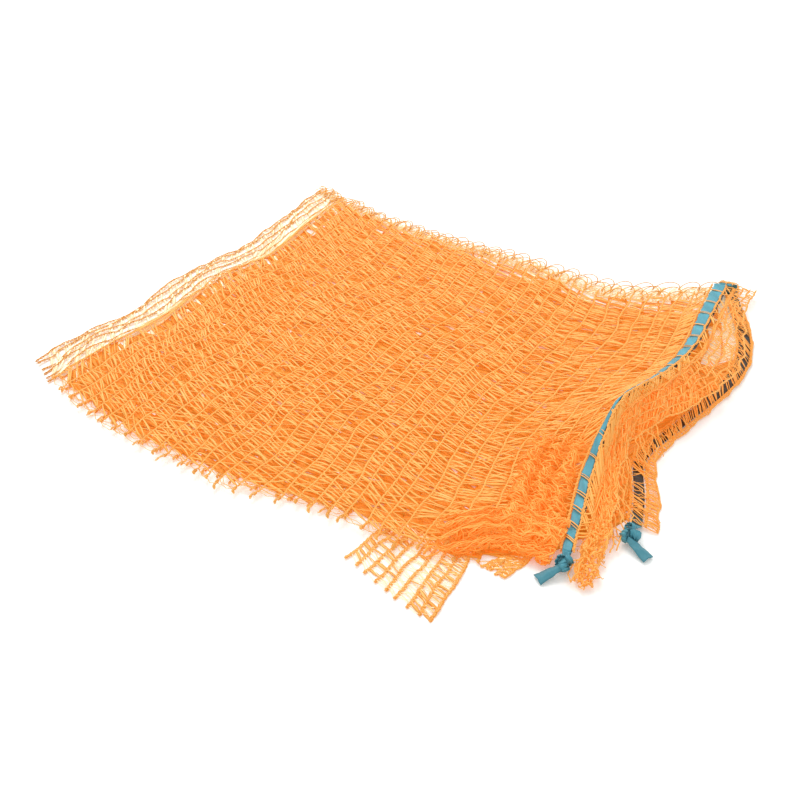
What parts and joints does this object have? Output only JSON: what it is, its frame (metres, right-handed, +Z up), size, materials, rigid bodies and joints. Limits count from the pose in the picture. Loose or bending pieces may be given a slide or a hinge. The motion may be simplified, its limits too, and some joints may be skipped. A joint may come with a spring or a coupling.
{
  "type": "mesh produce bag",
  "caption": "Empty knitted mesh produce bag lying flat, with a cut fringe along one side, a looped seam along the other and a film-tape drawstring knotted at both ends.",
  "frame": {"origin": "middle of the footprint's box, on the surface that the bag lies on", "axes": "+X from the bottom selvedge to the mouth, +Y from the cut side to the side seam, +Z up"},
  "size_m": [0.3684, 0.3614, 0.0306],
  "materials": {
    "front_knit": "satin polyethylene film yarn, light orange",
    "back_knit": "satin polyethylene film yarn, deep orange",
    "seam_thread": "satin polyethylene thread",
    "film_tape": "creased satin polyethylene film, teal"
  },
  "bodies": {
    "bag": {"bottom_selvedge": "front_knit", "side_seam": "seam_thread", "front_panel": "front_knit", "back_panel": "back_knit", "front_wale_tips": "front_knit", "back_wale_tips": "back_knit", "back_flap": "back_knit", "small_back_flap": "back_knit", "front_tunnel_wale_bag_side": "front_knit", "front_tunnel_wale_mouth_side": "front_knit", "drawstring_front_run": "film_tape", "front_header": "front_knit", "back_tunnel_wale_bag_side": "back_knit", "back_tunnel_wale_mouth_side": "back_knit", "drawstring_back_run": "film_tape", "back_header": "back_knit", "front_header_bunch": "front_knit"},
    "far_corner": {"drawstring_far_fold": "film_tape", "far_corner_knit": "front_knit"},
    "front_end": {"front_knot": "film_tape", "front_tail": "film_tape"},
    "back_end": {"back_knot": "film_tape", "back_tail": "film_tape"}
  },
  "joints": [
    {"name": "mouth_gather", "type": "slide", "parent": "bag", "child": "far_corner", "axis": [0.06, -0.9982, 0], "range_m": [0, 0.12], "deforming": ["front_tunnel_wale_bag_side", "front_tunnel_wale_mouth_side", "drawstring_front_run", "front_header", "back_tunnel_wale_bag_side", "back_tunnel_wale_mouth_side", "drawstring_back_run", "back_header", "back_panel"]},
    {"name": "front_end_pull", "type": "slide", "parent": "bag", "child": "front_end", "axis": [0.1, -0.995, 0], "range_m": [0, 0.12]},
    {"name": "back_end_pull", "type": "slide", "parent": "bag", "child": "back_end", "axis": [0.2, -0.9798, 0], "range_m": [0, 0.12]}
  ],
  "couplings": [
    {"joint": "front_end_pull", "follows": "mouth_gather", "ratio": 1},
    {"joint": "back_end_pull", "follows": "mouth_gather", "ratio": 1}
  ]
}
